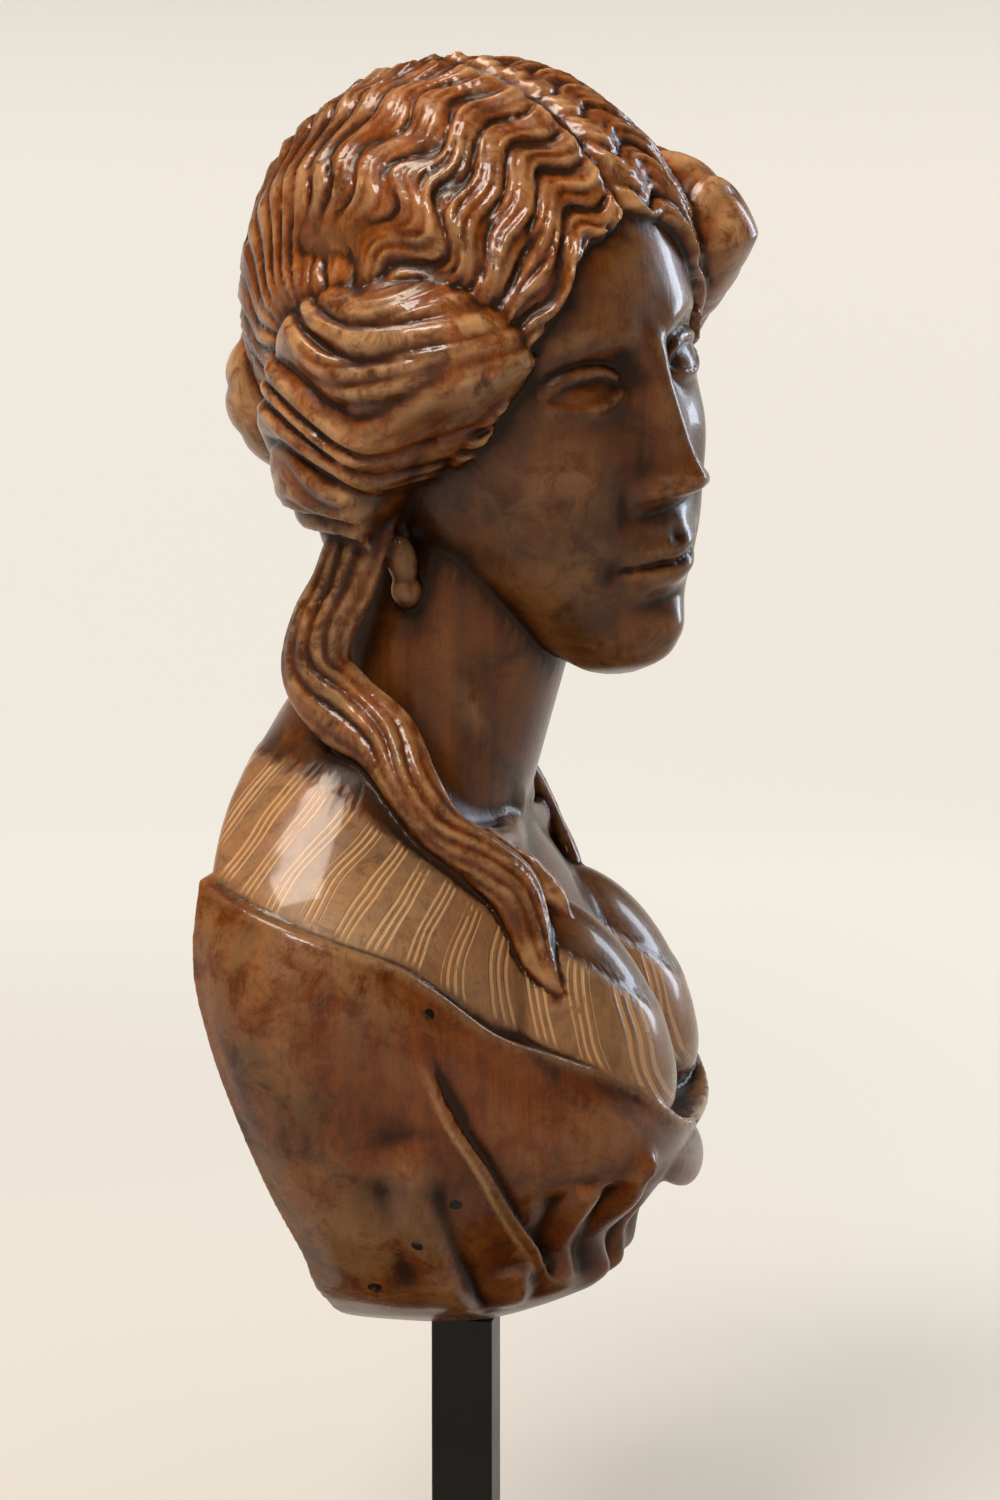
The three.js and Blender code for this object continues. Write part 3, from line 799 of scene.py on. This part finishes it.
# Shared effect: soft irregular patches fixed to the object, stretched along any axis.
def patchGroup():
    group = bpy.data.node_groups.new("soft patches", "ShaderNodeTree")
    for name, kind in (
        ("Stretch", "NodeSocketVector"), ("Shift", "NodeSocketVector"), ("Scale", "NodeSocketFloat"),
        ("Detail", "NodeSocketFloat"), ("Roughness", "NodeSocketFloat"), ("Distortion", "NodeSocketFloat"),
    ):
        group.interface.new_socket(name, in_out="INPUT", socket_type=kind)
    group.interface.new_socket("Value", in_out="OUTPUT", socket_type="NodeSocketFloat")
    given, result = group.nodes.new("NodeGroupInput"), group.nodes.new("NodeGroupOutput")
    where, mapping = group.nodes.new("ShaderNodeTexCoord"), group.nodes.new("ShaderNodeMapping")
    noise = group.nodes.new("ShaderNodeTexNoise")
    group.links.new(where.outputs["Object"], mapping.inputs["Vector"])
    group.links.new(given.outputs["Stretch"], mapping.inputs["Scale"])
    group.links.new(given.outputs["Shift"], mapping.inputs["Location"])
    group.links.new(mapping.outputs[0], noise.inputs["Vector"])
    for name in ("Scale", "Detail", "Roughness", "Distortion"):
        group.links.new(given.outputs[name], noise.inputs[name])
    group.links.new(noise.outputs[0], result.inputs["Value"])
    return group


softPatches = patchGroup()


def noiseIn(tree, scale, stretch=(1, 1, 1), detail=4, roughness=0.55, distortion=0.0, shift=(0, 0, 0)):
    node = nodeIn(tree, "ShaderNodeGroup", node_tree=softPatches)
    given = {
        "Stretch": stretch, "Shift": shift, "Scale": scale,
        "Detail": detail, "Roughness": roughness, "Distortion": distortion,
    }
    for name, value in given.items():
        node.inputs[name].default_value = value
    return node.outputs["Value"]


varnish = {
    "deep": (0.014, 0.0060, 0.0028, 1),
    "brown": (0.046, 0.0135, 0.0030, 1),
    "orange": (0.155, 0.044, 0.0060, 1),
    "amber": (0.235, 0.086, 0.0160, 1),
    "tan": (0.260, 0.155, 0.082, 1),
    # light tan for wear and the pale strokes, also used as painted highlight on ridges and on the arm's lip
    "lightTanAndHighlight": (0.400, 0.220, 0.095, 1),
    "hole": (0.004, 0.003, 0.002, 1),
    "mantleTint": (0.74, 0.56, 0.36, 1),
    # darkens the face and neck: partly their own colour, partly painted shade
    "fleshTintAndShade": (0.80, 0.76, 0.70, 1),
    "hairTint": (0.92, 0.74, 0.56, 1),
    "roughness": 0.27,
    "coat": 0.26,
    "coatRoughness": 0.10,
    "specular": 0.15,
    "strokeGroup": 14.5,  # spacing of the groups of strokes, mm
    "strokeStep": 2.75,
    # small holes and short cracks as (forward, right, height, radius) in mm
    "holes": (
        (-14, 78, 22, 1.4), (-2, 113, 52, 1.2), (25, 116, 84, 1.3),
        (14, 116, 70, 1.0), (5, 126, 145, 1.0), (-21, 93, 33, 1.3),
    ),
}


def holeMask(tree):
    where = tree.nodes.new("ShaderNodeTexCoord").outputs["Object"]
    mask = None
    for f, r, h, radius in varnish["holes"]:
        apart = nodeIn(tree, "ShaderNodeVectorMath", operation="DISTANCE")
        tree.links.new(where, apart.inputs[0])
        apart.inputs[1].default_value = place(f, r, h) / 1000
        spot = mathIn(tree, "LESS_THAN", apart.outputs["Value"], radius * 2.6 / 1000)
        mask = spot if mask is None else mathIn(tree, "MAXIMUM", mask, spot)
    return mask


def pleatStrokes(tree):
    # groups of fine slanting lines, broken here and there
    wobble = noiseIn(tree, 15, detail=2, shift=(7, 3, 1))
    moved = plus(tree, attributeIn(tree, "strokeAcross"), times(tree, wobble, 12.0))
    step = mathIn(tree, "FRACT", mathIn(tree, "DIVIDE", moved, varnish["strokeGroup"]))
    inGroup = times(tree, mathIn(tree, "LESS_THAN", step, 0.58), mathIn(tree, "GREATER_THAN", step, 0.02))
    phase = mathIn(tree, "FRACT", mathIn(tree, "DIVIDE", moved, varnish["strokeStep"]))
    saw = mathIn(tree, "ABSOLUTE", minus(tree, phase, 0.5))
    line = share(tree, minus(tree, 0.31, saw), 6.0)
    breaks = between(tree, noiseIn(tree, 60, detail=3, shift=(1, 8, 2)), 0.30, 0.40)
    down = plus(tree, attributeIn(tree, "strokeDown"), times(tree, minus(tree, wobble, 0.5), 0.35))
    reach = mathIn(tree, "ABSOLUTE", minus(tree, down, 0.52))
    ends = share(tree, minus(tree, 0.46, reach), 14)
    return times(tree, line, inGroup, breaks, ends, attributeIn(tree, "chemise"))


def woodMaterial():
    material = bpy.data.materials.new("varnished wood")
    material.use_nodes = True
    tree = material.node_tree
    shader = tree.nodes["Principled BSDF"]
    clouds = noiseIn(tree, 8, detail=6, roughness=0.62, distortion=0.5)
    patches = noiseIn(tree, 24, detail=8, roughness=0.66, distortion=0.9, shift=(3, 1, 2))
    mottle = noiseIn(tree, 70, detail=6, roughness=0.7, distortion=0.5, shift=(5, 2, 9))
    grain = noiseIn(tree, 60, stretch=(7, 7, 0.30), detail=6, roughness=0.72, distortion=0.12)
    streak = noiseIn(tree, 22, stretch=(5, 5, 0.35), detail=5, roughness=0.6, shift=(2, 6, 1))
    fleck = noiseIn(tree, 520, stretch=(1, 1, 0.3), detail=3, roughness=0.7)
    smoke = noiseIn(tree, 13, detail=7, roughness=0.7, distortion=1.4, shift=(8, 4, 6))
    veins = noiseIn(
        tree, 120, stretch=(2.2, 2.2, 0.5), detail=5, roughness=0.75, distortion=1.8, shift=(1, 5, 3)
    )
    names = (
        "hairMask", "bare", "fleshMask", "chemise", "mantle", "rimHighlight", "edgeLine", "hollowFine", "hollowWide",
    )
    hairMask, bare, flesh, chemiseMask, mantleMask, rimHighlightMask, edge, fine, wide = (
        attributeIn(tree, name) for name in names
    )
    holes = holeMask(tree)
    strokes = pleatStrokes(tree)
    base = None

    def laid(factor, colour, blend="MIX"):
        return mixIn(tree, factor, base, colour, blend)

    # tones of the wood, then blotches, smoke and fine cracks in the varnish
    tone = plus(tree, times(tree, clouds, 0.62), times(tree, streak, 0.38))
    stops = [(0.36, varnish["brown"]), (0.66, varnish["amber"]), (0.52, varnish["orange"])]
    base = rampIn(tree, tone, stops)
    base = laid(times(tree, between(tree, patches, 0.50, 0.64), 0.62), varnish["deep"])
    base = laid(times(tree, between(tree, smoke, 0.52, 0.68), 0.62), varnish["deep"])
    crackle = between(tree, mathIn(tree, "ABSOLUTE", minus(tree, veins, 0.5)), 0.022, 0.0)
    base = laid(times(tree, crackle, 0.50), varnish["deep"])
    # worn and tinted zones; the face and neck are darkened partly by painted shade
    rubbed = times(tree, between(tree, plus(tree, patches, times(tree, mottle, 0.35)), 0.60, 0.70), bare)
    base = laid(times(tree, rubbed, 0.80), varnish["tan"])
    base = laid(times(tree, chemiseMask, 0.38), varnish["tan"])
    base = laid(times(tree, chemiseMask, between(tree, mottle, 0.54, 0.66), 0.5), varnish["deep"])
    base = laid(times(tree, between(tree, grain, 0.40, 0.75), 0.35), varnish["deep"])
    # face and neck darker brown: partly a darker brown of their own, partly painted shade
    base = laid(times(tree, flesh, 0.42), varnish["brown"])
    base = laid(mantleMask, varnish["mantleTint"], "MULTIPLY")
    base = laid(flesh, varnish["fleshTintAndShade"], "MULTIPLY")
    base = laid(hairMask, varnish["hairTint"], "MULTIPLY")
    # ridges painted lighter, partly wear and partly painted highlight; hollows painted darker, partly dark
    # glaze and partly painted shade
    hollow = plus(tree, times(tree, fine, 0.55), times(tree, wide, 0.65))
    raised = share(tree, hollow, -1.2)
    amount = plus(tree, times(tree, hairMask, 0.46), 0.22)
    base = laid(times(tree, raised, amount, between(tree, mottle, 0.35, 0.60)), varnish["lightTanAndHighlight"])
    base = laid(times(tree, share(tree, hollow, 2.1), 0.92), varnish["deep"])
    # painted highlight along the arm's lip, where the varnish is also made smoother
    base = laid(times(tree, rimHighlightMask, 0.6), varnish["lightTanAndHighlight"])
    base = laid(times(tree, strokes, 0.72), varnish["lightTanAndHighlight"])
    base = laid(share(tree, edge, 0.75), varnish["deep"])
    base = laid(times(tree, holes, between(tree, mottle, 0.42, 0.5)), varnish["hole"])
    tree.links.new(base, shader.inputs["Base Color"])
    rough = plus(tree, times(tree, patches, 0.30), varnish["roughness"] - 0.14)
    rough = plus(tree, minus(tree, rough, times(tree, rimHighlightMask, 0.10)), times(tree, rubbed, 0.10))
    tree.links.new(rough, shader.inputs["Roughness"])
    dulled = times(tree, share(tree, hollow, 1.6), 0.4)
    tree.links.new(mathIn(tree, "SUBTRACT", varnish["coat"], dulled, True), shader.inputs["Coat Weight"])
    shader.inputs["Coat Roughness"].default_value = varnish["coatRoughness"]
    shader.inputs["IOR"].default_value = 1.45
    shader.inputs["Specular IOR Level"].default_value = varnish["specular"]
    height = times(tree, grain, 0.16)
    weights = ((fleck, 0.09), (patches, 0.30), (mottle, 0.20), (strokes, -0.45), (edge, -0.7), (holes, -1.0))
    for value, weight in weights:
        height = plus(tree, height, times(tree, value, weight))
    bumpIn(tree, shader, height, 0.7, 0.0012)
    return material


bustMesh.materials.append(woodMaterial())
print("bust: finish done")

stand = {
    "colour": (0.003, 0.0028, 0.0026, 1),
    "haze": (0.007, 0.0062, 0.0055, 1),
    "roughness": 0.26,
    "specular": 0.22,
}


def paintMaterial():
    material = bpy.data.materials.new("black satin paint")
    material.use_nodes = True
    tree = material.node_tree
    shader = tree.nodes["Principled BSDF"]
    speckle = noiseIn(tree, 900, detail=2)
    haze = noiseIn(tree, 30, detail=4)
    base = mixIn(tree, times(tree, haze, 0.5), stand["colour"], stand["haze"])
    tree.links.new(base, shader.inputs["Base Color"])
    rough = plus(tree, times(tree, haze, 0.14), stand["roughness"])
    tree.links.new(rough, shader.inputs["Roughness"])
    shader.inputs["Specular IOR Level"].default_value = stand["specular"]
    bumpIn(tree, shader, speckle, 0.25, 0.0002)
    return material


paint = paintMaterial()
for node in ("post", "foot"):
    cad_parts[node].data.materials.clear()
    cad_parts[node].data.materials.append(paint)
print("stand: paint done")

# Light plain studio around the object
stage = {
    "wall": (0.66, 0.625, 0.570, 1),
    "floor": (0.44, 0.418, 0.380, 1),
    "ceiling": (0.16, 0.150, 0.14, 1),
    "radius": 4.6,
    "curve": 1.6,
    "high": 4.2,
    "glow": 0.98,
    "nearGlow": 0.50,  # share of the glow on the side of the room lamp
    "floorGlow": 0.48,  # share of the glow round the foot
}


def levelDistance(tree):
    squash = nodeIn(tree, "ShaderNodeMapping", Scale=(1, 1, 0))
    tree.links.new(tree.nodes.new("ShaderNodeTexCoord").outputs["Object"], squash.inputs["Vector"])
    flat = nodeIn(tree, "ShaderNodeVectorMath", operation="LENGTH")
    tree.links.new(squash.outputs[0], flat.inputs[0])
    return flat.outputs["Value"]


# Runs from low to 1 as value goes from 0 to 1
def risingFrom(tree, value, low):
    return plus(tree, times(tree, value, 1 - low), low)


def backdropMaterial():
    # the wall dims above head height, so that most light comes from the lamps
    material = bpy.data.materials.new("backdrop")
    material.use_nodes = True
    tree = material.node_tree
    shader = tree.nodes["Principled BSDF"]
    shader.inputs["Roughness"].default_value = 0.9
    shader.inputs["Specular IOR Level"].default_value = 0.1
    shader.inputs["Emission Color"].default_value = stage["wall"]
    where = tree.nodes.new("ShaderNodeSeparateXYZ")
    tree.links.new(tree.nodes.new("ShaderNodeTexCoord").outputs["Object"], where.inputs[0])
    high = between(tree, where.outputs["Z"], 0.7, 2.2)
    tree.links.new(mixIn(tree, high, stage["floor"], stage["ceiling"]), shader.inputs["Base Color"])
    away = levelDistance(tree)
    low = minus(tree, 1.0, high)
    far = between(tree, away, -0.35, 1.0)
    lit = risingFrom(tree, between(tree, where.outputs["X"], -2.5, 1.5), stage["nearGlow"])
    wide = risingFrom(tree, between(tree, away, 0.7, 2.8), stage["floorGlow"])
    tree.links.new(times(tree, low, far, lit, wide, stage["glow"]), shader.inputs["Emission Strength"])
    return material


def backdrop():
    # a round studio: flat floor curving up into a wall on every side
    radius, curve = stage["radius"], stage["curve"]
    profile = [(0.02, 0.0), (radius - curve, 0.0)]
    for i in range(1, 25):
        a = i / 24 * math.pi / 2
        profile.append((radius - curve * (1 - math.sin(a)), curve * (1 - math.cos(a))))
    profile.append((radius, stage["high"]))
    turns = 128
    around = [2 * math.pi * j / turns for j in range(turns)]
    points = [(x * math.cos(a), x * math.sin(a), z) for x, z in profile for a in around]
    faces = [tuple(range(turns))]
    for i in range(len(profile) - 1):
        for j in range(turns):
            k = (j + 1) % turns
            faces.append((i * turns + j, i * turns + k, (i + 1) * turns + k, (i + 1) * turns + j))
    mesh = bpy.data.meshes.new("backdrop")
    mesh.from_pydata(points, [], faces)
    mesh.shade_smooth()
    mesh.materials.append(backdropMaterial())
    floor = bpy.data.objects.new("backdrop", mesh)
    bpy.context.scene.collection.objects.link(floor)
    return floor


backdrop()

world = bpy.data.worlds.new("studio")
bpy.context.scene.world = world
world.use_nodes = True
sky = world.node_tree.nodes["Background"]
sky.inputs["Color"].default_value = (1.0, 0.96, 0.90, 1)
sky.inputs["Strength"].default_value = 0.14

# name: place, size, power in watts, colour
lamps = {
    "skylight": ((-1.45, 0.35, 1.95), (0.75, 0.55), 52, (1.0, 0.93, 0.84)),
    "crown": ((-0.1, 0.6, 2.4), (0.8, 0.8), 44, (1.0, 0.90, 0.78)),
    "far window": ((1.6, -1.6, 1.20), (0.45, 1.4), 30, (0.74, 0.85, 1.0)),
    "near room": ((-2.4, -0.6, 0.7), (1.8, 1.6), 2.5, (1.0, 0.93, 0.84)),
}
lampAim = Vector((0, 0, 0.45))


def areaLight(name, at, size, energy, colour):
    light = bpy.data.lights.new(name, "AREA")
    light.shape = "RECTANGLE"
    light.size, light.size_y = size
    light.energy = energy
    light.color = colour
    lamp = bpy.data.objects.new(name, light)
    lamp.location = at
    lamp.rotation_euler = (lampAim - Vector(at)).to_track_quat("-Z", "Y").to_euler()
    bpy.context.scene.collection.objects.link(lamp)


for name, values in lamps.items():
    areaLight(name, *values)

# distances in metres; the aim is moved sideways and up from the top of the post
view = {
    "azimuth": -81.7,
    "elevation": 6.0,
    "distance": 1.70,
    "sideways": 0.01394,
    "upwards": 0.23083,
    "frameHeight": 0.615,
    "sensor": 36,
}


def camera():
    a, e = math.radians(view["azimuth"]), math.radians(view["elevation"])
    back = Vector((math.sin(a) * math.cos(e), -math.cos(a) * math.cos(e), math.sin(e)))
    right = -back.cross(Vector((0, 0, 1))).normalized()
    up = back.cross(right)
    target = Vector((0, 0, baseHeight / 1000)) + right * view["sideways"] + up * view["upwards"]
    data = bpy.data.cameras.new("camera")
    data.sensor_width = view["sensor"]
    data.lens = view["sensor"] * view["distance"] / view["frameHeight"]
    made = bpy.data.objects.new("camera", data)
    made.location = target + back * view["distance"]
    made.rotation_euler = (-back).to_track_quat("-Z", "Y").to_euler()
    bpy.context.scene.collection.objects.link(made)
    bpy.context.scene.camera = made


camera()
bpy.context.scene.view_settings.view_transform = "Standard"
print("stage done")
